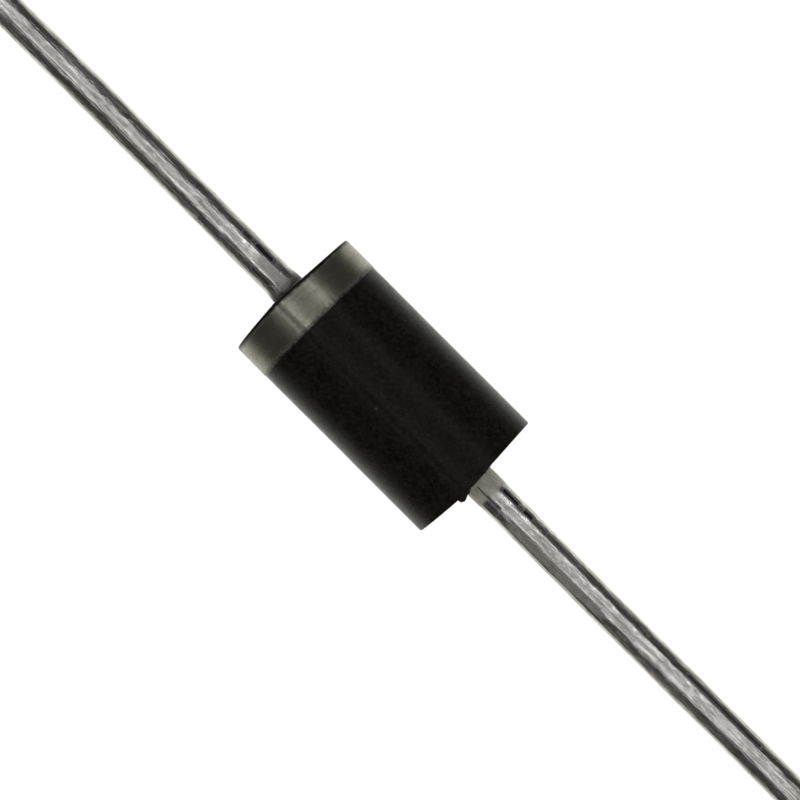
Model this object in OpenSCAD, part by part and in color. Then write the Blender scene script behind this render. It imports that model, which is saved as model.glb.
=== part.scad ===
// Axial rectifier diode in a DO-201 style moulded package.
// The two wires lie along X, the banded (cathode) end points to +X,
// and the origin is the middle of the body, on the wire axis. Millimetres.

/* [Moulded body] */
// Diameter of the moulded body
body_d = 5.3; // [4.8:0.05:5.6]
// Length of the body along the mould's parting plane
body_l = 9.28; // [8.5:0.02:9.5]
// Draft of the two flats on the banded end face, in degrees
cathode_draft = 3.2; // [0.5:0.1:5]
// Draft of the two flats on the plain end face, in degrees
anode_draft = 3.2; // [0.5:0.1:5]
// Size of the broken edge round each end face
edge_break = 0.06; // [0.03:0.01:0.15]
// Turn of the parting plane about the wire axis, in degrees from vertical
seam_roll = 16; // [-90:1:90]
// Sideways mismatch of the two moulded halves
mould_mismatch = 0.04; // [0.01:0.01:0.08]
// Width of the parting-line flash
flash_w = 0.05; // [0.03:0.01:0.1]
// Height of the parting-line flash above the body
flash_h = 0.035; // [0.03:0.005:0.06]
// Width of the broken-off gate stub, across the parting line
gate_w = 0.5; // [0.3:0.05:0.7]
// Greatest height of the gate stub above the end face
gate_h = 0.17; // [0.08:0.01:0.3]
// Depth of the gate stub, from the rim towards the wire
gate_t = 0.5; // [0.3:0.05:0.7]

/* [Cathode band] */
// Width of the printed ring, at the parting plane
band_w = 1.42; // [0.8:0.02:2]
// Bare edge between the ring and the end face
band_gap = 0.1; // [0.08:0.01:0.4]
// Thickness of the ink
band_t = 0.02; // [0.015:0.005:0.03]

/* [Wires] */
// Diameter of the tinned copper wire
wire_d = 1.2; // [1.2:0.01:1.3]
// Length over the two cut wire ends
overall_l = 62.5; // [60:0.5:70]
// Chamfer left by the cut at each wire end
cut_chamfer = 0.08; // [0.05:0.01:0.2]
// Extra radius of the wire where it enters the banded end
cathode_flare = 0.04; // [0.01:0.01:0.08]
// Extra radius of the wire where it enters the plain end
anode_flare = 0.01; // [0.01:0.01:0.08]
// Length of the tapered root outside the body
flare_l = 0.6; // [0.3:0.05:1]

/* [Nail heads] */
// Diameter of the cold-formed head on the inner end of each wire
head_d = 2.3; // [2:0.05:2.6]
// Thickness of the head
head_t = 0.4; // [0.3:0.05:0.6]
// Length of the cone from the head to the wire
neck_l = 0.35; // [0.2:0.05:0.6]

/* [Junction] */
// Side of the square silicon die
die_w = 2.1; // [1.8:0.05:2.2]
// Thickness of the silicon die
die_t = 0.26; // [0.2:0.02:0.3]
// Diameter of each solder layer
solder_d = 1.96; // [1.6:0.02:2]
// Thickness of each solder layer
solder_t = 0.05; // [0.04:0.01:0.1]
// Outer diameter of the resin bead round the die
bead_d = 3.5; // [3.3:0.05:3.7]
// Width of the resin bead along the wires
bead_w = 0.9; // [0.8:0.05:1.1]

/* [Hidden] */
$fn = 128;
R = body_d / 2;                      // body radius
HL = body_l / 2;                     // half length of the body
WR = wire_d / 2;                     // wire radius
HR = head_d / 2;                     // head radius
TIP = overall_l / 2;                 // wire end, from the middle of the body
FACE = die_t / 2 + solder_t;         // inner face of each head
END_FLASH = 0.015;                   // flash standing out of the end faces
BR = bead_w / 2;                     // round of the bead's rim
BM = bead_d / 2 - BR;                // where that round is centred
BODY_COLOUR = [0.07, 0.07, 0.06];
BAND_COLOUR = [0.52, 0.51, 0.47];
TIN_COLOUR = [0.72, 0.71, 0.69];
SOLDER_COLOUR = [0.55, 0.56, 0.58];
DIE_COLOUR = [0.28, 0.29, 0.33];
RESIN_COLOUR = [0.88, 0.87, 0.82];

// Turns a shape made along Z to lie along +X.
module along_x() { rotate([0, 90, 0]) children(); }

// A 45 degree cone that ends in a flat: it trims one end of the body to a
// drafted face with a broken edge. The face passes through the origin.
module end_trim(r) {
    reach = 20;
    translate([-reach, 0, 0]) along_x()
        cylinder(h = reach, r1 = r - edge_break + reach, r2 = r - edge_break);
}

// The half of the body on the +Y side of the parting plane. Both end faces
// lean back from that plane, so that the half leaves its mould cavity.
module half_body(r) {
    intersection() {
        translate([-body_l, 0, -r - 1]) cube([2 * body_l, r + 2, 2 * r + 2]);
        along_x() cylinder(h = 2 * body_l, r = r, center = true);
        translate([HL, 0, 0]) rotate([0, 0, cathode_draft]) end_trim(r);
        translate([-HL, 0, 0]) rotate([0, 0, 180 - anode_draft]) end_trim(r);
    }
}

// Thin fin that the mould squeezes out along its parting plane. The ink
// over it is as thick on its sides as on its edge.
module flash(ink) {
    intersection() {
        cube([body_l + 2 * END_FLASH, flash_w + 2 * ink, 4 * R], center = true);
        along_x() cylinder(h = 2 * body_l, r = R + flash_h + ink, center = true);
    }
}

// Stub left where the runner was snapped off, on the rim of the plain end.
module gate_stub() {
    w = gate_w / 2;
    translate([0, 0, R - gate_t]) linear_extrude(height = gate_t - 0.04)
        polygon([[-HL + 0.3, -w], [-HL - 0.35 * gate_h, -w],
                 [-HL - gate_h, 0.55 * w], [-HL - 0.75 * gate_h, w],
                 [-HL + 0.3, w]]);
}

// The two moulded halves and their flash, without the room for the inside,
// under a film of ink if there is one.
module body_outline(ink) {
    translate([0, 0, mould_mismatch / 2]) half_body(R + ink);
    translate([0, 0, -mould_mismatch / 2]) mirror([0, 1, 0]) half_body(R + ink);
    flash(ink);
}

// Wire with its head: one cold-formed piece, a solid of revolution.
module lead_shape(flare) {
    neck = FACE + head_t;
    along_x() rotate_extrude()
        polygon([[0, FACE], [HR, FACE], [HR, neck], [WR, neck + neck_l],
                 [WR, HL - 1.2], [WR + flare, HL - 0.6],
                 [WR + flare, HL], [WR, HL + flare_l],
                 [WR, TIP - cut_chamfer], [WR - cut_chamfer, TIP], [0, TIP]]);
}

module cathode_lead_shape() { lead_shape(cathode_flare); }
module anode_lead_shape() { mirror([1, 0, 0]) lead_shape(anode_flare); }

// Outer shape of the resin bead, filled in.
module bead_shape() {
    along_x() {
        rotate_extrude() translate([BM, 0]) circle(r = BR);
        cylinder(h = bead_w, r = BM, center = true);
    }
}

module moulded_body() {
    color(BODY_COLOUR) difference() {
        rotate([-seam_roll, 0, 0]) {
            body_outline(0);
            gate_stub();
        }
        bead_shape();
        cathode_lead_shape();
        anode_lead_shape();
    }
}

// Printed ring: a slice of the outline grown by the ink's thickness. One of
// its edges is square to the wire, and the other follows the drafted end.
module cathode_band() {
    color(BAND_COLOUR) rotate([-seam_roll, 0, 0]) difference() {
        intersection() {
            body_outline(band_t);
            translate([HL - band_gap - band_w, -2 * R, -2 * R])
                cube([band_w, 4 * R, 4 * R]);
            translate([-band_gap, 0, 0]) union() {
                half_body(2 * R);
                mirror([0, 1, 0]) half_body(2 * R);
            }
        }
        body_outline(0);
    }
}

module cathode_lead() { color(TIN_COLOUR) cathode_lead_shape(); }
module anode_lead() { color(TIN_COLOUR) anode_lead_shape(); }

module silicon_die() {
    color(DIE_COLOUR) cube([die_t, die_w, die_w], center = true);
}

module solder_layer() {
    color(SOLDER_COLOUR) translate([die_t / 2, 0, 0]) along_x()
        cylinder(h = solder_t, d = solder_d);
}

module cathode_solder() { solder_layer(); }
module anode_solder() { mirror([1, 0, 0]) solder_layer(); }

// Soft resin that seals the edge of the die between the two heads.
module junction_coating() {
    color(RESIN_COLOUR) difference() {
        bead_shape();
        cathode_lead_shape();
        anode_lead_shape();
        cube([die_t, die_w, die_w], center = true);
        along_x() cylinder(h = 2 * FACE, d = solder_d, center = true);
    }
}

moulded_body();
cathode_band();
cathode_lead();
anode_lead();
silicon_die();
cathode_solder();
anode_solder();
junction_coating();
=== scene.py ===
"""Axial rectifier diode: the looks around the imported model.

Sizes below are in millimetres unless a name ends in _M. The diode lies along X, its banded end at +X.
"""

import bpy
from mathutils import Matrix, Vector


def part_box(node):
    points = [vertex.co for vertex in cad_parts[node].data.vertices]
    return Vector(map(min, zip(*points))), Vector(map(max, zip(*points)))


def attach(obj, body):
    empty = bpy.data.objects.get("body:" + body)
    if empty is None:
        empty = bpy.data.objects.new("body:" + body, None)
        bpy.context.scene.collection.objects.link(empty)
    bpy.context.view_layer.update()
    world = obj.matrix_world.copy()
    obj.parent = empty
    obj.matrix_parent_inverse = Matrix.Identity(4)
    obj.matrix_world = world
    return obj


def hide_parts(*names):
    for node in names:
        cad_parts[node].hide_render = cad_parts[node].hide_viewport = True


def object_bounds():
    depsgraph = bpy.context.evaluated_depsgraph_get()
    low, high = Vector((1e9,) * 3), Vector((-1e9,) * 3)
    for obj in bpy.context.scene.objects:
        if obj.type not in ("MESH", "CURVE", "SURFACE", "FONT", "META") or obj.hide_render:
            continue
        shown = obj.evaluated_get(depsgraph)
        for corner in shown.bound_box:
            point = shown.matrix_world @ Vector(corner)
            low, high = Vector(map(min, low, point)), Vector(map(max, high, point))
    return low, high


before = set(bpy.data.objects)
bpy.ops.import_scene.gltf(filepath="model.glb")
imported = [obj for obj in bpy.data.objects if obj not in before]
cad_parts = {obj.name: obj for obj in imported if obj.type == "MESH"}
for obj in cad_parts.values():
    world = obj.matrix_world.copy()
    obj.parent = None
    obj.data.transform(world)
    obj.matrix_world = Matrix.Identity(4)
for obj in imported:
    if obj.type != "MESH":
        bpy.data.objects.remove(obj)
CAD_BOX = [[float(v) for v in c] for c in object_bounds()]

import math

import bpy
import numpy as np
from mathutils import Matrix, Vector

MM = 0.001

# ---------------------------------------------------------------- dimensions
R = 5.3 / 2            # body radius
HL = 9.28 / 2          # half length of the body at the parting plane
DRAFT = math.tan(math.radians(3.2))
EDGE = 0.055           # radius of the broken edge
ROLL = math.radians(16)
STEP = 0.019           # how far one half stands past the other
WR = 1.2 / 2           # wire radius
TIP = 62.5 / 2
FACE = 0.18            # inner face of each head
HEAD_R, HEAD_X = 1.15, 0.58
NECK_X = 0.93
BEAD_R, BEAD_BR = 1.75, 0.45
BAND_T = 0.02
BAND_GAP = 0.1
BAND_X = 3.12
CR, SR = math.cos(ROLL), math.sin(ROLL)


def agrees(what, ours, packed, slack=0.03):
    if abs(ours - packed) > slack:
        raise RuntimeError(f"{what}: {ours:.3f} here, {packed:.3f} in the packed model")


_lo, _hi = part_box("moulded_body")
agrees("body radius", R, _hi.y / MM)
agrees("body half length", HL + 0.015, _hi.x / MM)
_lo, _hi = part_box("cathode_lead")
agrees("wire tip", TIP, _hi.x / MM)
agrees("head radius", HEAD_R, _hi.y / MM)
_lo, _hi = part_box("cathode_band")
agrees("band", BAND_X, _lo.x / MM)
_lo, _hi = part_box("junction_coating")
agrees("bead", BEAD_R, _hi.y / MM)


# ---------------------------------------------------------------- noise and curves
def smooth(t):
    t = np.clip(t, 0.0, 1.0)
    return t * t * (3 - 2 * t)


def window(x, a, b, soft):
    """1 between a and b, 0 outside, with soft ends inside the window."""
    return smooth((x - a) / soft) * smooth((b - x) / soft)


def bell(t):
    return np.exp(-t * t)


def noise(u, v, nu, nv, seed):
    """Smooth noise in -1..1. u wraps round once over 0..1 in nu cells, v runs over 0..1 in nv cells."""
    rng = np.random.default_rng(seed)
    grid = rng.uniform(-1, 1, (nu, nv + 4))
    fu, fv = (u % 1.0) * nu, np.clip(v, 0, 0.999999) * nv
    iu, iv = np.floor(fu).astype(int), np.floor(fv).astype(int)
    tu, tv = fu - iu, fv - iv

    def weights(t):
        return (
            (1 - t) ** 3 / 6,
            (3 * t ** 3 - 6 * t ** 2 + 4) / 6,
            (-3 * t ** 3 + 3 * t ** 2 + 3 * t + 1) / 6,
            t ** 3 / 6,
        )

    wu, wv = weights(tu), weights(tv)
    total = 0.0
    for a in range(4):
        for b in range(4):
            total = total + wu[a] * wv[b] * grid[(iu + a - 1) % nu, iv + b]
    return np.clip(total * 1.7, -1, 1)


def line(x, cells, seed):
    """Smooth noise along one number in 0..1."""
    return noise(np.zeros_like(x) + 0.37, x, 3, cells, seed)


# ---------------------------------------------------------------- mesh from rings
def ring_mesh(name, rings, closed_loop, pole_a=None, pole_b=None, attributes=None):
    """A closed mesh from an array rings[ring, around, xyz] in millimetres. Either the last ring joins the first, or a pole point shuts each end."""
    n, m = rings.shape[:2]
    points = rings.reshape(-1, 3)
    faces = []
    ids = np.arange(n * m).reshape(n, m)
    nxt = np.roll(ids, -1, axis=1)
    last = n if closed_loop else n - 1
    quads = []
    for i in range(last):
        j = (i + 1) % n
        quads.append(np.stack([ids[i], nxt[i], nxt[j], ids[j]], axis=1))
    quads = np.concatenate(quads)
    faces = [tuple(int(k) for k in q) for q in quads]
    extra = []
    if pole_a is not None:
        k = n * m + len(extra)
        extra.append(pole_a)
        faces += [(k, int(nxt[0][c]), int(ids[0][c])) for c in range(m)]
    if pole_b is not None:
        k = n * m + len(extra)
        extra.append(pole_b)
        faces += [(k, int(ids[-1][c]), int(nxt[-1][c])) for c in range(m)]
    if extra:
        points = np.concatenate([points, np.array(extra, float)])
    tri_a, tri_b, tri_c = points[quads[:, 0]], points[quads[:, 1]], points[quads[:, 2]]
    tri_d = points[quads[:, 3]]
    volume = np.einsum("ij,ij->i", tri_a, np.cross(tri_b, tri_c)).sum() + np.einsum("ij,ij->i", tri_a, np.cross(tri_c, tri_d)).sum()
    if volume < 0:
        faces = [tuple(reversed(f)) for f in faces]
    mesh = bpy.data.meshes.new(name)
    mesh.from_pydata([tuple(p) for p in points * MM], [], faces)
    mesh.validate()
    mesh.polygons.foreach_set("use_smooth", [True] * len(mesh.polygons))
    for key, values in (attributes or {}).items():
        flat = np.zeros(len(points), np.float32)
        flat[: n * m] = values.reshape(-1)
        layer = mesh.attributes.new(key, "FLOAT", "POINT")
        layer.data.foreach_set("value", flat)
    mesh.update()
    obj = bpy.data.objects.new(name, mesh)
    bpy.context.scene.collection.objects.link(obj)
    return obj


# ---------------------------------------------------------------- the moulded body's surface
# The body's own frame has the parting plane at y = 0 and is then rolled about X by -16 degrees.
def roll(x, y, z):
    return np.stack([x, y * CR + z * SR, -y * SR + z * CR], axis=-1)


def body_angles():
    fine = set()
    for centre in (90.0, 270.0):
        for k in np.arange(-2.0, 2.01, 0.125):
            fine.add(round(centre + k, 4))
        for k in np.arange(-7.0, 7.01, 0.5):
            fine.add(round(centre + k, 4))
    for k in np.arange(0.0, 360.0, 1.25):
        if min(abs(k - 90), abs(k - 270)) > 7.2:
            fine.add(round(float(k), 4))
    return np.radians(np.array(sorted(fine)))


PHI = body_angles()


def wall_radius(phi, x):
    """Radius of the moulded wall: two half cylinders that miss each other by STEP, the step between them, its flash and its foot."""
    d = STEP / 2
    c, s = np.cos(phi), np.sin(phi)
    plus = d * s + np.sqrt(R * R - d * d * c * c)
    minus = -d * s + np.sqrt(R * R - d * d * c * c)
    y = R * c
    top = s > 0
    high = np.where(top, 1.0, -1.0)  # the half that stands proud: +y on top, -y below
    along = (x + HL) / (2 * HL)
    wander = 0.012 * line(along, 9, 11) + 0.006 * line(along, 31, 12)
    yy = y * high - wander
    t = smooth((yy + 0.056) / 0.104)
    r = np.where(top, minus + (plus - minus) * t, plus + (minus - plus) * t)
    ragged = 0.55 + 0.45 * noise(np.where(top, 0.2, 0.7), along, 4, 60, 13)
    # the sunk foot of the step, long on the low side and short up to the seam
    foot = np.where(yy < -0.056, smooth((yy + 0.300) / 0.244), 1 - smooth((yy + 0.056) / 0.104))
    r = r - (0.0145 + 0.004 * ragged) * foot
    # the mould's own unevenness, and the way the resin shrinks over the heads inside
    u = phi / (2 * math.pi)
    r = r + 0.0025 * noise(u, along, 9, 7, 14) + 0.0012 * noise(u, along, 40, 26, 15)
    r = r - 0.004 * bell(x / 1.4)
    return r


def face_x(r, phi, side, y, z):
    """How far the end face on that side stands from the middle, at a point of it in the body's own frame."""
    u = phi / (2 * math.pi)
    d = HL - np.abs(y) * DRAFT
    d = d + 0.0030 * noise(u, r / R, 24, 10, 21 + side) + 0.0015 * noise(u, r / R, 90, 30, 24 + side)
    d = d + 0.012 * bell(y / 0.022) * (0.7 + 0.3 * noise(u, r / R, 4, 30, 27 + side))
    # the resin climbs a little way up the wire
    d = d + 0.05 * np.exp(-np.maximum(r - 0.60, 0) / 0.05)
    return d


def gate_height(y, z):
    """The snapped-off gate: a ragged stub on the rim of the plain end, at the top seam."""
    inside = smooth((0.262 - np.abs(y - 0.005)) / 0.028) * smooth((z - (R - 0.50)) / 0.06)
    ramp = np.interp(y, [-0.25, -0.13, 0.02, 0.12, 0.175, 0.25], [0.055, 0.062, 0.105, 0.168, 0.160, 0.120])
    fall = 1.0 - 0.35 * smooth((R - 0.10 - z) / 0.40)
    a, b = (y + 0.5) * 1.0, (z - 1.9) / 1.0
    rough = 0.022 * noise(a, b, 14, 12, 31) + 0.014 * noise(a, b, 34, 28, 32)
    return inside * np.maximum(ramp * fall + rough, 0.02)


def body_mesh():
    m = len(PHI)
    rings, wear = [], []

    def add(x, r, dull=0.0):
        x, r = np.broadcast_to(x, (m,)), np.broadcast_to(r, (m,))
        rings.append(roll(x, r * np.cos(PHI), r * np.sin(PHI)))
        wear.append(np.broadcast_to(dull, (m,)).astype(float))

    hole = {1: WR + 0.030, -1: WR + 0.002}
    shares = np.concatenate([[0.0, 0.012, 0.03, 0.06, 0.11, 0.2, 0.32, 0.45, 0.58, 0.68], np.linspace(0.745, 1.0, 15)])

    def end(side):
        """Rings from the wire out to the wall, over one end face and its broken edge."""
        out = []
        wall = wall_radius(PHI, np.full(m, side * HL))
        rim = wall - EDGE
        for f in shares:
            r = hole[side] + (rim - hole[side]) * f
            y, z = r * np.cos(PHI), r * np.sin(PHI)
            x = face_x(r, PHI, side, y, z)
            g = gate_height(y, z) if side < 0 else np.zeros(m)
            out.append((x + g, r, smooth(g / 0.03)))
        x, _, g = out[-1]
        for t in np.radians([22.5, 45, 67.5, 90]):
            out.append((x - EDGE * (1 - math.cos(t)), rim + EDGE * math.sin(t), g))
        return out

    anode, cathode = end(-1), end(1)
    for x, r, g in anode:
        add(-x, r, g)
    start, stop = -anode[-1][0], cathode[-1][0]
    for t in np.linspace(0, 1, 66)[1:-1]:
        ease = t
        x = start + (stop - start) * ease
        add(x, wall_radius(PHI, x), 0.0)
    for x, r, g in reversed(cathode):
        add(x, r, g)
    # the room inside, from the cathode end to the anode end
    for side in (1, -1):
        inner = [(HL - 0.25, hole[side] - 0.01), (HL - 1.2, WR), (2.6, WR), (NECK_X, WR), (HEAD_X, HEAD_R)]
        if side < 0:
            inner = inner[::-1]
        bead = [(BEAD_BR * math.sin(a), (BEAD_R - BEAD_BR) + BEAD_BR * math.cos(a)) for a in np.radians(np.linspace(88, 0, 9))]
        if side > 0:
            for x, r in inner:
                add(x, r)
            add(0.455, HEAD_R)
            for x, r in bead:
                add(x, r)
        else:
            for x, r in bead[::-1][1:]:
                add(-x, r)
            add(-0.455, HEAD_R)
            for x, r in inner:
                add(-x, r)
    obj = ring_mesh("body_moulding", np.array(rings), True, attributes={"broken": np.array(wear)})
    return obj


def band_mesh():
    """The printed ring: a thin film over the wall, with a soft edge each side that wanders a little."""
    m = len(PHI)
    u = PHI / (2 * math.pi)
    wall_end = HL - np.abs(R * np.cos(PHI)) * DRAFT
    outer = wall_end - BAND_GAP + 0.012 * noise(u, u * 0 + 0.3, 40, 3, 41) + 0.008 * noise(u, u * 0 + 0.6, 120, 3, 42) + 0.01
    inner = BAND_X + 0.022 * noise(u, u * 0 + 0.3, 16, 3, 43) + 0.012 * noise(u, u * 0 + 0.6, 70, 3, 44) + 0.006
    rings, film = [], []
    ts = np.concatenate([[0, 0.008, 0.018, 0.032, 0.05, 0.08], np.linspace(0.12, 0.88, 16), [0.92, 0.95, 0.968, 0.982, 0.992, 1.0]])
    for t in ts:
        x = outer + (inner - outer) * t
        width = np.abs(outer - inner)
        edge = np.minimum(t, 1 - t) * width
        thick = BAND_T * np.sqrt(np.clip(edge / 0.035, 0, 1)) * (1 + 0.10 * bell((edge - 0.05) / 0.03))
        thick = np.maximum(thick * (0.86 + 0.10 * noise(u, np.full(m, t), 60, 12, 45)), 0.0006)
        r = wall_radius(PHI, x) + thick
        rings.append(roll(x, r * np.cos(PHI), r * np.sin(PHI)))
        film.append(np.where(t > 0.5, 0.5 * edge, edge))        # the inner edge fades out more slowly
    for t in (1.0, 0.75, 0.5, 0.25, 0.0):
        x = outer + (inner - outer) * t
        r = wall_radius(PHI, x) - 0.006
        rings.append(roll(x, r * np.cos(PHI), r * np.sin(PHI)))
        film.append(np.zeros(m))
    return ring_mesh("band_ink", np.array(rings), True, attributes={"film": np.array(film)})


# ---------------------------------------------------------------- the wires
ROUND = 184
ANG = np.arange(ROUND) * 2 * math.pi / ROUND

# Angles go round the wire in degrees: 90 is on top, 0 faces +Y and 180 faces -Y. Places are distances from the middle of the diode.
# Pressed flats: (angle, from, to, depth, length of the soft ends, share of frosting on the pressed metal)
FLATS = {
    1: [
        (93, 4.72, 6.44, 0.026, 0.42, 0.95),
        (127, 5.78, 6.62, 0.0060, 0.14, 0.0),
        (127, 6.70, 7.24, 0.0060, 0.12, 0.0),
        (57, 5.16, 6.18, 0.0070, 0.12, 0.0),
        (47, 9.4, 10.9, 0.0040, 0.40, 0.0),
        (133, 12.6, 14.4, 0.0040, 0.40, 0.0),
        (310, 8.2, 9.4, 0.0060, 0.15, 0.5),
        (205, 14.2, 15.6, 0.0050, 0.20, 0.3),
        (265, 19.5, 20.8, 0.0060, 0.20, 0.5),
        (20, 23.2, 24.0, 0.0060, 0.15, 0.0),
        (95, 18.3, 19.6, 0.0040, 0.40, 0.4),
    ],
    -1: [
        (135, 5.50, 6.32, 0.0060, 0.12, 0.0),
        (135, 6.50, 7.00, 0.0060, 0.10, 0.0),
        (131, 7.70, 9.20, 0.0045, 0.30, 0.0),
        (132, 14.50, 17.40, 0.0080, 0.30, 0.0),
        (51, 5.24, 5.98, 0.0090, 0.12, 0.0),
        (58, 6.20, 11.30, 0.0240, 0.60, 1.0),
        (300, 6.1, 7.0, 0.0070, 0.15, 0.5),
        (215, 9.0, 10.4, 0.0050, 0.20, 0.3),
        (250, 17.5, 18.9, 0.0060, 0.20, 0.5),
        (30, 21.0, 21.9, 0.0060, 0.15, 0.0),
        (88, 20.2, 21.8, 0.0040, 0.40, 0.4),
    ],
}
# Nicks and bumps: (angle, where, half angle, half length, depth, share of polish on it)
DENTS = {
    1: [
        (104, 6.95, 11, 0.17, -0.0015, 1.0),
        (104, 6.47, 11, 0.17, -0.0015, 1.0),
        (72, 5.9, 5, 0.60, -0.0030, 1.0),
        (84, 9.10, 10, 0.20, 0.0040, 0.0),
        (118, 12.1, 12, 0.10, 0.0050, 0.0),
        (100, 15.5, 9, 0.30, -0.0030, 0.6),
        (240, 11.0, 14, 0.20, 0.0080, 0.3),
        (330, 16.6, 12, 0.25, 0.0080, 0.3),
        (180, 22.2, 14, 0.20, 0.0090, 0.3),
        (76, 10.2, 5, 0.60, -0.0020, 0.7),
        (104, 11.6, 4, 0.50, -0.0020, 0.6),
        (100, 21.0, 8, 0.16, 0.0050, 0.6),
        (62, 25.4, 9, 0.14, 0.0060, 0.5),
    ],
    -1: [
        (119, 11.4, 9, 7.20, -0.0100, 0.0),
        (117, 5.72, 6, 0.26, -0.0065, 0.0),
        (111, 5.64, 9, 0.22, 0.0, 1.0),
        (111, 5.98, 9, 0.17, 0.0, 1.0),
        (117, 6.77, 6, 0.14, -0.0065, 0.0),
        (111, 6.77, 9, 0.17, 0.0, 1.0),
        (109, 7.35, 4, 0.10, 0.0, 0.6),
        (110, 8.88, 8, 0.18, 0.0, 1.0),
        (109, 9.50, 4, 0.08, 0.0, 0.6),
        (110, 10.10, 8, 0.15, -0.0010, 1.0),
        (110, 11.21, 8, 0.16, -0.0010, 1.0),
        (110, 12.14, 8, 0.11, -0.0010, 1.0),
        (62, 12.05, 8, 0.14, 0.0070, 0.0),
        (118, 12.62, 14, 0.05, 0.0100, 0.0),
        (117, 13.10, 6, 0.50, -0.0060, 0.0),
        (111, 13.10, 8, 0.42, 0.0, 1.0),
        (79, 12.95, 5, 0.26, -0.0010, 0.9),
        (108, 13.95, 4, 0.20, 0.0, 0.6),
        (109, 14.78, 6, 0.10, -0.0010, 1.0),
        (160, 6.38, 12, 0.06, 0.0120, 0.0),
        (160, 7.06, 12, 0.06, 0.0120, 0.0),
        (158, 7.74, 12, 0.10, 0.0080, 0.0),
        (250, 8.4, 14, 0.20, 0.0080, 0.3),
        (200, 13.9, 12, 0.25, 0.0080, 0.3),
        (320, 19.6, 14, 0.20, 0.0090, 0.3),
        (104, 18.2, 7, 0.20, 0.0050, 0.5),
        (70, 24.6, 8, 0.18, 0.0060, 0.5),
    ],
}
# Painted shade: near-black marks that stand in for dark reflections along the pressed flats and for a shadow ring at
# the cathode root, each over a shallow groove: (angle, from, to, half angle, strength)
PAINTED_DARK_MARKS = {
    1: [
        (70, 4.56, 4.79, 78.0, 0.80),
        (126.5, 5.72, 6.62, 12.0, 0.98),
        (126.5, 6.72, 7.26, 11.5, 0.95),
        (128, 5.30, 5.66, 9.0, 0.55),
        (55.5, 5.22, 6.14, 8.0, 0.92),
        (128, 12.9, 16.2, 6.0, 0.30),
        (52, 8.6, 10.9, 7.0, 0.30),
        (131, 20.4, 21.5, 7.0, 0.6),
        (300, 9.0, 10.2, 6.0, 0.6),
        (215, 18.4, 19.8, 6.0, 0.5),
    ],
    -1: [
        (130, 5.46, 6.32, 12.0, 1.0),
        (128.5, 6.48, 7.00, 12.0, 1.0),
        (127.8, 7.62, 9.26, 10.5, 0.80),
        (73, 4.74, 5.50, 3.2, 0.70),
        (74, 5.24, 5.94, 5.0, 0.85),
        (55, 5.36, 5.98, 8.5, 0.85),
        (74, 6.40, 10.9, 4.0, 0.35),
        (61, 6.40, 10.9, 2.4, 0.40),
        (62, 11.74, 12.30, 7.0, 0.45),
        (134, 12.52, 12.70, 15.0, 0.75),
        (129, 14.50, 18.20, 10.5, 0.92),
        (48, 12.9, 17.5, 6.0, 0.25),
        (126, 21.2, 22.5, 7.0, 0.6),
        (230, 7.2, 8.8, 6.0, 0.6),
        (310, 15.4, 16.8, 6.0, 0.5),
    ],
}


def apart(phi, centre):
    """Angle in degrees from a direction on the wire, -180..180."""
    return (np.degrees(phi) - centre + 180) % 360 - 180


def flat(r, phi, x, centre, x0, x1, depth, ends):
    """Presses a flat into the wire between x0 and x1, facing the angle centre, that deep at most."""
    a = np.radians(apart(phi, centre))
    plane = (WR - depth) / np.maximum(np.cos(a), 0.2)
    w = window(x, x0, x1, ends)
    cut = np.maximum(r - plane, 0.0) * (np.abs(a) < 1.2)
    soft = cut * cut / (cut + 0.0012)
    return r - w * soft, w * smooth(cut / 0.004)


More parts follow.
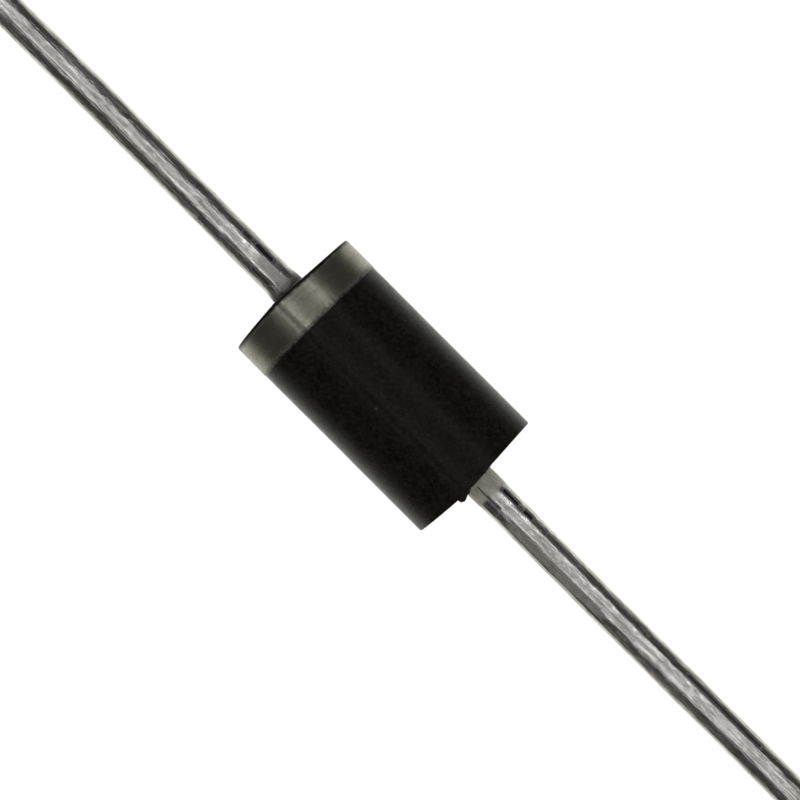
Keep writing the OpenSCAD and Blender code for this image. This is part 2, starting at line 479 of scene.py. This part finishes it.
def wire_surface(x, phi, side):
    """Radius of the tinned wire at |x| outside the body, and where its metal is polished, frosted, painted near-black
    as shade and dark reflections, or filmed with resin.
    """
    x, phi = np.broadcast_arrays(x, phi)
    u = phi / (2 * math.pi)
    v = (x - HL) / (TIP - HL)
    seed = 100 if side > 0 else 200
    flare, flare_l = (0.042, 0.62) if side > 0 else (0.006, 0.60)
    on = smooth((x - HL) / 0.35)
    drawn = 0.0020 * noise(u, v, 50, 12, seed + 1) + 0.0016 * noise(u, v, 74, 34, seed + 2)
    tin = 0.0048 * noise(u, v, 13, 36, seed + 3) + 0.0042 * noise(u, v, 24, 96, seed + 4) + 0.0030 * noise(u, v, 42, 180, seed + 7)
    wave = 0.0060 * noise(u, v, 3, 13, seed + 5) + 0.0045 * noise(u, v, 6, 40, seed + 6)
    r = WR + flare * (1 - smooth((x - HL) / flare_l)) + on * (drawn + tin + wave)
    polish, frost, painted_dark = np.zeros_like(r), np.zeros_like(r), np.zeros_like(r)
    for centre, x0, x1, depth, ends, share in FLATS[side]:
        r, where = flat(r, phi, x, centre, x0, x1, depth, ends)
        frost = np.maximum(frost, share * where)
    for centre, xc, half_angle, half_length, depth, share in DENTS[side]:
        where = bell(apart(phi, centre) / half_angle) * bell((x - xc) / half_length)
        r = r - depth * where
        polish = np.maximum(polish, share * where)
    ragged = noise(u, v, 40, 120, seed + 8)
    # painted shade: these marks take the tin to near black where dark reflections and the root's shadow fall; each also
    # cuts a shallow groove
    for centre, x0, x1, half_angle, share in PAINTED_DARK_MARKS[side]:
        wander = apart(phi, centre) + 1.2 * ragged
        where = np.exp(-(wander / half_angle) ** 4) * window(x + 0.05 * ragged, x0, x1, 0.08)
        r = r - 0.0016 * share * where
        painted_dark = np.maximum(painted_dark, share * where)
    # a film of moulding resin crept out along the plain wire, a trace of it at the other; both wires also turn darker
    # and duller towards the body
    if side < 0:
        reach = HL + 0.78 + 0.06 * noise(u, v * 0 + 0.5, 9, 3, 71) + 0.05 * noise(u, v * 0 + 0.2, 30, 3, 72)
        resin = smooth((reach - x) / 0.16)
        dull = smooth((HL + 1.3 - x) / 0.9) * 0.3
    else:
        resin = smooth((HL + 0.05 + 0.03 * noise(u, v * 0 + 0.5, 14, 3, 73) - x) / 0.05)
        dull = smooth((HL + 0.62 - x) / 0.55)
    r = r + 0.010 * resin
    return r, polish * (1 - resin), frost, painted_dark, resin, dull


def lead_mesh(side):
    name = "wire_cathode" if side > 0 else "wire_anode"
    m = ROUND
    keys = ("polish", "frost", "painted_dark", "resin", "dull", "cut")
    rings, marks = [], {k: [] for k in keys}

    def add(x, r, shift=(0.0, 0.0), **values):
        x, r = np.broadcast_to(x, (m,)), np.broadcast_to(r, (m,))
        rings.append(np.stack([side * x, r * np.cos(ANG) + shift[0], r * np.sin(ANG) + shift[1]], axis=-1))
        for k in keys:
            marks[k].append(np.broadcast_to(values.get(k, 0.0), (m,)).astype(float))

    # the cold-formed head inside the body
    for r in (0.3, 0.65, 0.95, HEAD_R - 0.03):
        add(FACE, r)
    for t in np.radians([45, 90]):
        add(FACE + 0.03 * (1 - math.cos(t)), HEAD_R - 0.03 + 0.03 * math.sin(t))
    for x in (0.32, 0.44, HEAD_X - 0.03):
        add(x, HEAD_R)
    add(HEAD_X, HEAD_R - 0.02)
    for t in np.linspace(0, 1, 7)[1:]:
        add(HEAD_X + (NECK_X - HEAD_X) * t, HEAD_R + (WR - HEAD_R) * t + 0.02 * math.sin(math.pi * t) * -1)
    for x in np.linspace(1.2, 3.44, 8):
        add(x, WR)
    flare = 0.042 if side > 0 else 0.006
    for t in np.linspace(0, 1, 7)[1:]:
        add(3.44 + 0.6 * t, WR + flare * t)
    add(4.4, WR + flare)

    # the wire outside
    def sag(x):
        ease = min(1, max(0, x - HL) / 3)
        return 0.012 * math.sin((x - HL) * 0.42 + side) * ease, 0.010 * math.sin((x - HL) * 0.33 + 2 * side) * ease

    xs = [4.52, 4.58, 4.62]
    x = 4.66
    while x < TIP - 0.16:
        xs.append(x)
        x += 0.045 if x < 7.4 else (0.062 if x < 17.5 else 0.085)
    xs = np.array(xs)
    surface = wire_surface(xs[:, None], ANG[None, :], side)
    for k, x in enumerate(xs):
        r, polish, frost, painted_dark, resin, dull = (part[k] for part in surface)
        add(x, r, sag(x), polish=polish, frost=frost, painted_dark=painted_dark, resin=resin, dull=dull)
    # the sheared tip: rolled over on one side, a little burr on the other
    shift = sag(TIP)
    lean = np.cos(ANG - math.radians(118 if side > 0 else 62))
    rim_r = surface[0][-1]
    u = ANG / (2 * math.pi)
    drag = 0.10 + 0.045 * lean + 0.012 * noise(u, u * 0 + 0.4, 24, 3, 61 + side)
    face = TIP - 0.012 - 0.030 * (1 + lean) / 2
    for t in np.radians([8, 22, 40, 60, 80]):
        add(face - drag * (1 - math.sin(t)), rim_r - drag * 0.62 * (1 - math.cos(t)), shift, cut=smooth((math.degrees(t) - 35) / 40))
    rim = rim_r - drag * 0.62
    for f in (0.97, 0.9, 0.8, 0.66, 0.5, 0.34, 0.18):
        r = rim * f
        shear = 0.006 * noise((r * np.cos(ANG - 0.6) + 1) / 2, (r * np.sin(ANG - 0.6) + 1) / 2, 5, 26, 63 + side)
        lip = 0.010 * bell((f - 0.93) / 0.05) * (0.5 - 0.5 * lean)
        add(face + (lean * (1 - f)) * 0.015 + shear + lip, r, shift, cut=1.0)
    pole_b = (side * (TIP - 0.028), *shift)
    obj = ring_mesh(
        name, np.array(rings), False, pole_a=(side * FACE, 0.0, 0.0), pole_b=pole_b,
        attributes={k: np.array(v) for k, v in marks.items()},
    )
    layer = obj.data.attributes["cut"].data
    layer[len(layer) - 1].value = 1.0
    return obj


# ---------------------------------------------------------------- materials
class Tree:
    """Short names for making shader nodes. Coordinates are the object's own, in millimetres."""

    def __init__(self, name):
        self.mat = bpy.data.materials.new(name)
        self.mat.use_nodes = True
        self.nt = self.mat.node_tree
        self.nt.nodes.clear()
        self.out = self.node("ShaderNodeOutputMaterial")
        self.bsdf = self.node("ShaderNodeBsdfPrincipled")
        self.link(self.bsdf.outputs[0], self.out.inputs["Surface"])
        coords = self.node("ShaderNodeTexCoord")
        scale = self.node("ShaderNodeVectorMath", operation="SCALE")
        self.link(coords.outputs["Object"], scale.inputs[0])
        scale.inputs["Scale"].default_value = 1000.0
        self.mm = scale.outputs[0]

    def node(self, kind, **props):
        n = self.nt.nodes.new(kind)
        for k, v in props.items():
            setattr(n, k, v)
        return n

    def link(self, a, b):
        self.nt.links.new(a, b)

    def set(self, **values):
        names = {"spec": "Specular IOR Level", "ior": "IOR", "tint": "Specular Tint", "metal": "Metallic", "rough": "Roughness", "aniso": "Anisotropic", "base": "Base Color"}
        for k, v in values.items():
            self.bsdf.inputs[names[k]].default_value = v

    def scaled(self, sx, sy, sz, shift=(0, 0, 0)):
        n = self.node("ShaderNodeMapping")
        self.link(self.mm, n.inputs["Vector"])
        n.inputs["Scale"].default_value = (sx, sy, sz)
        n.inputs["Location"].default_value = shift
        return n.outputs[0]

    def noise(self, vector, scale=1.0, detail=3.0, rough=0.55, distortion=0.0):
        n = self.node("ShaderNodeTexNoise")
        self.link(vector, n.inputs["Vector"])
        n.inputs["Scale"].default_value = scale
        n.inputs["Detail"].default_value = detail
        n.inputs["Roughness"].default_value = rough
        n.inputs["Distortion"].default_value = distortion
        return n.outputs["Fac"]

    def cells(self, vector, scale=1.0, feature="F1"):
        n = self.node("ShaderNodeTexVoronoi", feature=feature)
        self.link(vector, n.inputs["Vector"])
        n.inputs["Scale"].default_value = scale
        return n

    def spread(self, value, a, b, lo=0.0, hi=1.0):
        """value from a..b carried to lo..hi, and held there."""
        n = self.node("ShaderNodeMapRange", clamp=True)
        self.feed(value, n.inputs["Value"])
        for k, v in (("From Min", a), ("From Max", b), ("To Min", lo), ("To Max", hi)):
            n.inputs[k].default_value = v
        return n.outputs["Result"]

    def feed(self, value, socket):
        if isinstance(value, (int, float)):
            socket.default_value = value
        elif isinstance(value, tuple):
            socket.default_value = (*value, 1.0) if len(value) == 3 else value
        else:
            self.link(value, socket)

    def math(self, op, a, b=0.0, c=0.0):
        n = self.node("ShaderNodeMath", operation=op)
        for k, v in enumerate((a, b, c)):
            self.feed(v, n.inputs[k])
        return n.outputs[0]

    def mix(self, factor, a, b):
        n = self.node("ShaderNodeMix", data_type="RGBA")
        self.feed(factor, n.inputs["Factor"])
        self.feed(a, n.inputs[6])
        self.feed(b, n.inputs[7])
        return n.outputs[2]

    def blend(self, factor, a, b):
        n = self.node("ShaderNodeMix", data_type="FLOAT")
        self.feed(factor, n.inputs["Factor"])
        self.feed(a, n.inputs[2])
        self.feed(b, n.inputs[3])
        return n.outputs[0]

    def mask(self, name):
        n = self.node("ShaderNodeAttribute")
        n.attribute_name = name
        return n.outputs["Fac"]

    def spot(self, centre, radius, soft):
        """1 within radius of a point in millimetres."""
        n = self.node("ShaderNodeVectorMath", operation="DISTANCE")
        self.link(self.mm, n.inputs[0])
        n.inputs[1].default_value = centre
        return self.spread(n.outputs["Value"], radius, radius + soft, 1.0, 0.0)

    def bump(self, height, distance_mm, strength=1.0, after=None):
        n = self.node("ShaderNodeBump")
        self.link(height, n.inputs["Height"])
        n.inputs["Distance"].default_value = distance_mm * MM
        n.inputs["Strength"].default_value = strength
        if after is not None:
            self.link(after, n.inputs["Normal"])
        return n.outputs[0]

    def finish(self, base=None, rough=None, metal=None, normal=None):
        for value, key in ((base, "Base Color"), (rough, "Roughness"), (metal, "Metallic"), (normal, "Normal")):
            if value is not None:
                self.link(value, self.bsdf.inputs[key])
        return self.mat


def epoxy_material():
    """Black filled epoxy from the mould: a fine spark-eroded grain, cloudy gloss, stray pale specks, and grey broken resin at the gate."""
    t = Tree("epoxy_black")
    cloud = t.noise(t.scaled(1, 1, 1), 0.9, 4, 0.6)
    mottle = t.noise(t.scaled(1, 1, 1, (3, 1, 5)), 2.6, 3, 0.6)
    grain = t.noise(t.scaled(1, 1, 1), 6.5, 3, 0.62)
    fine = t.noise(t.scaled(1, 1, 1), 26, 2, 0.5)
    broken = t.mask("broken")
    tint = t.noise(t.scaled(1, 1, 1, (9, 2, 6)), 1.7, 3, 0.6)
    dark = t.mix(t.spread(mottle, 0.38, 0.62), (0.0046, 0.0041, 0.0029), (0.0106, 0.0096, 0.0070))
    dark = t.mix(t.spread(grain, 0.42, 0.66, 0.0, 0.85), dark, (0.0200, 0.0188, 0.0148))
    dark = t.mix(t.spread(tint, 0.52, 0.68, 0.0, 0.6), dark, (0.0070, 0.0078, 0.0068))
    # a few pale filler specks
    speck = t.cells(t.scaled(1, 1, 1), 1.35)
    near = t.spread(speck.outputs["Distance"], 0.018, 0.045, 1.0, 0.0)
    rare = t.math("GREATER_THAN", t.noise(t.scaled(1, 1, 1, (7, 3, 1)), 0.8, 1, 0.5), 0.60)
    dark = t.mix(t.math("MULTIPLY", t.math("MULTIPLY", near, rare), 0.10), dark, (0.42, 0.41, 0.37))
    chip = t.spot(SPECK, 0.018, 0.035)
    dark = t.mix(t.math("MULTIPLY", chip, 0.16), dark, (0.5, 0.49, 0.45))
    for spot in SCRATCH:
        dark = t.mix(t.math("MULTIPLY", t.spot(spot, 0.012, 0.03), 0.05), dark, (0.5, 0.49, 0.45))
    base = t.mix(broken, dark, t.mix(grain, (0.006, 0.0055, 0.0045), (0.030, 0.028, 0.024)))
    rough = t.blend(t.spread(cloud, 0.3, 0.7), BODY_ROUGH[0], BODY_ROUGH[1])
    rough = t.math("ADD", rough, t.spread(mottle, 0.3, 0.7, -0.05, 0.06))
    rough = t.blend(broken, rough, 0.72)
    height = t.math("ADD", t.math("MULTIPLY", grain, 0.65), t.math("MULTIPLY", fine, 0.35))
    normal = t.bump(height, 0.010, 0.9, t.bump(mottle, 0.008, 0.8))
    t.set(ior=BODY_IOR, tint=(1.0, 0.97, 0.80, 1.0))
    return t.finish(base, rough, None, normal)


def ink_material():
    """Silver-grey printed ink: flake in a satin binder, rolled on round the body, thinning out to the bare resin along its edges."""
    t = Tree("band_silver")
    rolled = t.noise(t.scaled(9, 1.1, 1.1), 1.0, 4, 0.6)
    cloud = t.noise(t.scaled(1, 1, 1), 2.2, 3, 0.55)
    patch = t.noise(t.scaled(1, 1, 1, (2, 4, 1)), 7.0, 3, 0.6)
    flake = t.noise(t.scaled(1, 1, 1), 40, 2, 0.6)
    film = t.mask("film")
    lit = t.math("ADD", t.math("MULTIPLY", rolled, 0.4), t.math("MULTIPLY", t.math("ADD", cloud, patch), 0.3))
    base = t.mix(t.spread(lit, 0.34, 0.64), INK[0], INK[1])
    base = t.mix(t.spread(flake, 0.52, 0.75, 0.0, 0.35), base, (0.50, 0.49, 0.41))
    edge = t.math("ADD", film, t.spread(patch, 0.3, 0.7, -0.034, 0.026))
    cover = t.spread(edge, 0.0, 0.095, 0.0, 1.0)
    base = t.mix(cover, (0.012, 0.011, 0.009), base)
    rough = t.math("ADD", t.spread(lit, 0.3, 0.7, INK_ROUGH[1], INK_ROUGH[0]), t.math("MULTIPLY", cover, 0.0))
    normal = t.bump(t.math("ADD", t.math("MULTIPLY", flake, 0.15), t.math("ADD", rolled, patch)), 0.010, 0.5)
    metal = t.blend(cover, 0.0, 0.94)
    return t.finish(base, rough, metal, normal)


def tin_material():
    """Tinned copper wire: satin tin with drawing lines along it, dull and bright patches, resin film at the root, bare copper where it was cut."""
    t = Tree("tin_plated")
    lines = t.noise(t.scaled(0.45, 7, 7), 1.0, 4, 0.62)
    scratch = t.noise(t.scaled(0.9, 26, 26), 1.0, 3, 0.6)
    cloud = t.noise(t.scaled(1.1, 2.2, 2.2), 1.0, 3, 0.6)
    blotch = t.noise(t.scaled(3.2, 6, 6), 1.0, 3, 0.6)
    grain = t.noise(t.scaled(1, 1, 1), 20, 3, 0.6)
    polish, frost, painted_dark, resin, dull, cut = (t.mask(k) for k in ("polish", "frost", "painted_dark", "resin", "dull", "cut"))
    tone = t.math("ADD", t.math("MULTIPLY", lines, 0.40), t.math("MULTIPLY", t.math("ADD", cloud, blotch), 0.30))
    base = t.mix(t.spread(tone, 0.39, 0.59), TIN[0], TIN[1])
    base = t.mix(t.spread(scratch, 0.53, 0.74, 0.0, 0.7), base, (0.32, 0.313, 0.29))
    base = t.mix(t.math("MULTIPLY", frost, 0.85), base, t.mix(t.spread(blotch, 0.35, 0.65), (0.57, 0.560, 0.522), (0.75, 0.739, 0.698)))
    base = t.mix(polish, base, (0.96, 0.945, 0.905))
    base = t.mix(t.math("MULTIPLY", dull, 0.70), base, t.mix(t.spread(blotch, 0.35, 0.65), (0.19, 0.187, 0.16), (0.33, 0.325, 0.29)))
    film = t.mix(t.spread(blotch, 0.35, 0.68), RESIN[0], RESIN[1])
    base = t.mix(t.math("MULTIPLY", resin, 0.95), base, film)
    # painted shade: near-black, non-metallic tin where the marks stand in for dark reflections and the shadow ring at
    # the root
    base = t.mix(t.math("MULTIPLY", painted_dark, 1.0), base, (0.006, 0.005, 0.004))
    copper = t.mix(t.spread(lines, 0.3, 0.7), (0.55, 0.27, 0.17), (0.72, 0.40, 0.27))
    smear = t.mix(t.spread(cloud, 0.42, 0.60), copper, (0.62, 0.58, 0.54))
    base = t.mix(cut, base, smear)
    rough = t.spread(tone, 0.30, 0.70, WIRE_ROUGH[1], WIRE_ROUGH[0])
    rough = t.blend(frost, rough, 0.70)
    rough = t.blend(dull, rough, 0.66)
    rough = t.blend(polish, rough, 0.13)
    rough = t.blend(resin, rough, 0.62)
    rough = t.blend(cut, rough, 0.42)
    metal = t.blend(t.math("MAXIMUM", t.math("MULTIPLY", resin, 0.62), painted_dark), 1.0, 0.02)
    height = t.math("ADD", t.math("MULTIPLY", lines, 1.0), t.math("MULTIPLY", scratch, 0.22))
    height = t.math("ADD", height, t.math("MULTIPLY", blotch, 0.7))
    height = t.math("ADD", height, t.math("MULTIPLY", grain, 0.15))
    normal = t.bump(height, 0.026, 0.8)
    t.set(spec=0.3)
    return t.finish(base, rough, metal, normal)


def silicon_material():
    """Diced silicon: one steel-grey, partly metallic finish with saw lines all over and a faint random stain."""
    t = Tree("silicon_grey")
    saw = t.noise(t.scaled(22, 1.2, 1.2), 1.0, 2, 0.5)
    stain = t.noise(t.scaled(1, 1, 1), 3.0, 3, 0.55)
    base = t.mix(stain, (0.13, 0.135, 0.16), (0.22, 0.225, 0.255))
    rough = t.spread(saw, 0.3, 0.7, 0.22, 0.42)
    t.set(metal=0.55)
    return t.finish(base, rough, None, t.bump(saw, 0.003, 0.5))


def solder_material():
    """High-lead solder that has wetted both faces: dull grey with a frosty grain."""
    t = Tree("solder_grey")
    frost = t.noise(t.scaled(1, 1, 1), 14, 4, 0.65)
    pool = t.noise(t.scaled(1, 1, 1), 2.4, 2, 0.5)
    base = t.mix(t.spread(pool, 0.35, 0.65), (0.36, 0.37, 0.39), (0.52, 0.53, 0.55))
    rough = t.spread(frost, 0.3, 0.7, 0.30, 0.52)
    t.set(metal=1.0)
    return t.finish(base, rough, None, t.bump(frost, 0.004, 0.6))


def bead_material():
    """White junction coating: cured silicone with faint haze, and pinholes shown only as darker spots of painted shade.
    """
    t = Tree("bead_white")
    haze = t.noise(t.scaled(1, 1, 1), 1.8, 3, 0.5)
    pits = t.cells(t.scaled(1, 1, 1), 7.0)
    pinhole_shade = t.spread(pits.outputs["Distance"], 0.05, 0.12, 1.0, 0.0)
    base = t.mix(haze, (0.74, 0.72, 0.65), (0.85, 0.84, 0.79))
    # painted shade: the pinholes are darker spots of colour, not holes in the surface
    base = t.mix(t.math("MULTIPLY", pinhole_shade, 0.4), base, (0.5, 0.48, 0.42))
    rough = t.spread(haze, 0.3, 0.7, 0.38, 0.55)
    return t.finish(base, rough, None, t.bump(haze, 0.02, 0.3))


BODY_IOR = 1.215
BODY_ROUGH = (0.27, 0.35)
INK = ((0.198, 0.193, 0.155), (0.330, 0.323, 0.262))
INK_ROUGH = (0.26, 0.36)
TIN = ((0.45, 0.440, 0.410), (0.83, 0.818, 0.785))
WIRE_ROUGH = (0.17, 0.30)
RESIN = ((0.62, 0.603, 0.515), (0.86, 0.842, 0.735))
SCRATCH = [(1.10, -2.085, 1.636), (1.06, -2.103, 1.613), (1.02, -2.121, 1.589)]
SPECK = (-0.40, 0.74, 2.545)

# ---------------------------------------------------------------- the pieces
body = body_mesh()
band = band_mesh()
cathode = lead_mesh(1)
anode = lead_mesh(-1)
for piece, node, material, slot in (
    (body, "moulded_body", epoxy_material(), "epoxy"),
    (band, "cathode_band", ink_material(), "band_ink"),
    (cathode, "cathode_lead", tin_material(), "tinned_wire"),
    (anode, "anode_lead", None, "tinned_wire"),
):
    piece.data.materials.append(material or cathode.data.materials[0])
    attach(piece, "root")
    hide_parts(node)

solder = solder_material()
for node, material in (
    ("silicon_die", silicon_material()),
    ("cathode_solder", solder),
    ("anode_solder", solder),
    ("junction_coating", bead_material()),
):
    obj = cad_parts[node]
    obj.data.materials.clear()
    obj.data.materials.append(material)

# ---------------------------------------------------------------- floor, light and camera
FLOOR_Z = CAD_BOX[0][2]


def emission(name, colour, strength, diffuse=None):
    mat = bpy.data.materials.new(name)
    mat.use_nodes = True
    nt = mat.node_tree
    nt.nodes.clear()
    out = nt.nodes.new("ShaderNodeOutputMaterial")
    b = nt.nodes.new("ShaderNodeBsdfPrincipled")
    b.inputs["Base Color"].default_value = (*(diffuse or (0, 0, 0)), 1)
    b.inputs["Roughness"].default_value = 0.9
    b.inputs["Specular IOR Level"].default_value = 0.0
    b.inputs["Emission Color"].default_value = (*colour, 1)
    b.inputs["Emission Strength"].default_value = strength
    nt.links.new(b.outputs[0], out.inputs["Surface"])
    return mat


def disc(name, radius, z, segments=96):
    mesh = bpy.data.meshes.new(name)
    pts = [(radius * math.cos(2 * math.pi * k / segments), radius * math.sin(2 * math.pi * k / segments), z) for k in range(segments)]
    mesh.from_pydata(pts, [], [tuple(range(segments))])
    obj = bpy.data.objects.new(name, mesh)
    bpy.context.scene.collection.objects.link(obj)
    return obj


floor = disc("studio_floor", 2.0, FLOOR_Z)
floor.data.materials.append(emission("studio_pale", (1.0, 1.0, 0.995), 0.86, (0.8, 0.8, 0.8)))
floor.visible_glossy = False

wall_mesh = bpy.data.meshes.new("studio_wall")
seg = 96
pts, quads = [], []
for k in range(seg):
    a = 2 * math.pi * k / seg
    pts += [(2.0 * math.cos(a), 2.0 * math.sin(a), FLOOR_Z), (2.0 * math.cos(a), 2.0 * math.sin(a), FLOOR_Z + 0.09)]
for k in range(seg):
    j = (k + 1) % seg
    quads.append((2 * k, 2 * j, 2 * j + 1, 2 * k + 1))
wall_mesh.from_pydata(pts, [], quads)
wall = bpy.data.objects.new("studio_wall", wall_mesh)
bpy.context.scene.collection.objects.link(wall)
wall.data.materials.append(emission("studio_wall_pale", (1.0, 1.0, 0.995), 1.05, (0.8, 0.8, 0.8)))
wall.visible_glossy = False

# what the shiny surfaces see of the table: a lit pane under it, with the dark room beyond its edge
PANE_DEPTH, PANE_GLOW, PANE_FADE = 0.30, 1.05, (37, 87)
pane = disc("studio_pane", 2.6, -PANE_DEPTH)
lit = emission("studio_pane_pale", (1.0, 1.0, 0.935), PANE_GLOW)
nt = lit.node_tree
place = nt.nodes.new("ShaderNodeNewGeometry")
reach = nt.nodes.new("ShaderNodeVectorMath")
reach.operation = "LENGTH"
nt.links.new(place.outputs["Position"], reach.inputs[0])
cosine = nt.nodes.new("ShaderNodeMath")
cosine.operation = "DIVIDE"
cosine.inputs[0].default_value = PANE_DEPTH
nt.links.new(reach.outputs["Value"], cosine.inputs[1])
angle = nt.nodes.new("ShaderNodeMath")
angle.operation = "ARCCOSINE"
nt.links.new(cosine.outputs[0], angle.inputs[0])
fade = nt.nodes.new("ShaderNodeMapRange")
fade.interpolation_type = "SMOOTHSTEP"
for key, value in (("From Min", math.radians(PANE_FADE[0])), ("From Max", math.radians(PANE_FADE[1])), ("To Min", PANE_GLOW), ("To Max", 0.0)):
    fade.inputs[key].default_value = value
nt.links.new(angle.outputs[0], fade.inputs["Value"])
nt.links.new(fade.outputs["Result"], next(n for n in nt.nodes if n.type == "BSDF_PRINCIPLED").inputs["Emission Strength"])
pane.data.materials.append(lit)
for ray in ("camera", "diffuse", "transmission", "shadow"):
    setattr(pane, "visible_" + ray, False)

scene = bpy.context.scene
world = bpy.data.worlds.new("studio")
scene.world = world
world.use_nodes = True
world.node_tree.nodes["Background"].inputs["Color"].default_value = (1.0, 0.99, 0.97, 1.0)
world.node_tree.nodes["Background"].inputs["Strength"].default_value = 0.055


def softbox(name, where, size, radiance):
    """A rectangular light facing the origin, of that radiance, long along X."""
    lamp = bpy.data.lights.new(name, "AREA")
    lamp.shape = "RECTANGLE"
    lamp.size, lamp.size_y = size
    lamp.energy = radiance * math.pi * size[0] * size[1]
    obj = bpy.data.objects.new(name, lamp)
    bpy.context.scene.collection.objects.link(obj)
    back = Vector(where).normalized()
    side = Vector((1, 0, 0))
    up = back.cross(side).normalized()
    side = up.cross(back).normalized()
    obj.matrix_world = Matrix.Translation(Vector(where)) @ Matrix((side, up, back)).transposed().to_4x4()
    return obj


def over(angle, distance):
    """A point over the diode, that many degrees from the vertical towards -Y."""
    a = math.radians(angle)
    return (0.0, -distance * math.sin(a), distance * math.cos(a))


softbox("overhead", (0, 0, 0.75), (1.5, 1.25), 0.34)
softbox("strip_left", over(29, 0.62), (0.9, 0.075), 1.58)
softbox("strip_right", over(-18, 0.62), (0.9, 0.075), 1.78)

cam_data = bpy.data.cameras.new("camera")
cam_data.sensor_width = 36.0
CAM = (-0.769, -0.052, 220.0)
VIEW_MM = 27.8
cam_data.lens = 36.0 * CAM[2] / VIEW_MM
cam_data.clip_start, cam_data.clip_end = 0.01, 10.0
camera = bpy.data.objects.new("camera", cam_data)
scene.collection.objects.link(camera)
h = math.sqrt(0.5)
camera.matrix_world = Matrix.Translation(Vector(CAM) * MM) @ Matrix(((-h, h, 0), (-h, -h, 0), (0, 0, 1))).to_4x4()
scene.camera = camera

scene.view_settings.view_transform = "Standard"
scene.view_settings.look = "None"
scene.view_settings.exposure = 0.0
scene.view_settings.gamma = 1.0

bpy.context.view_layer.update()
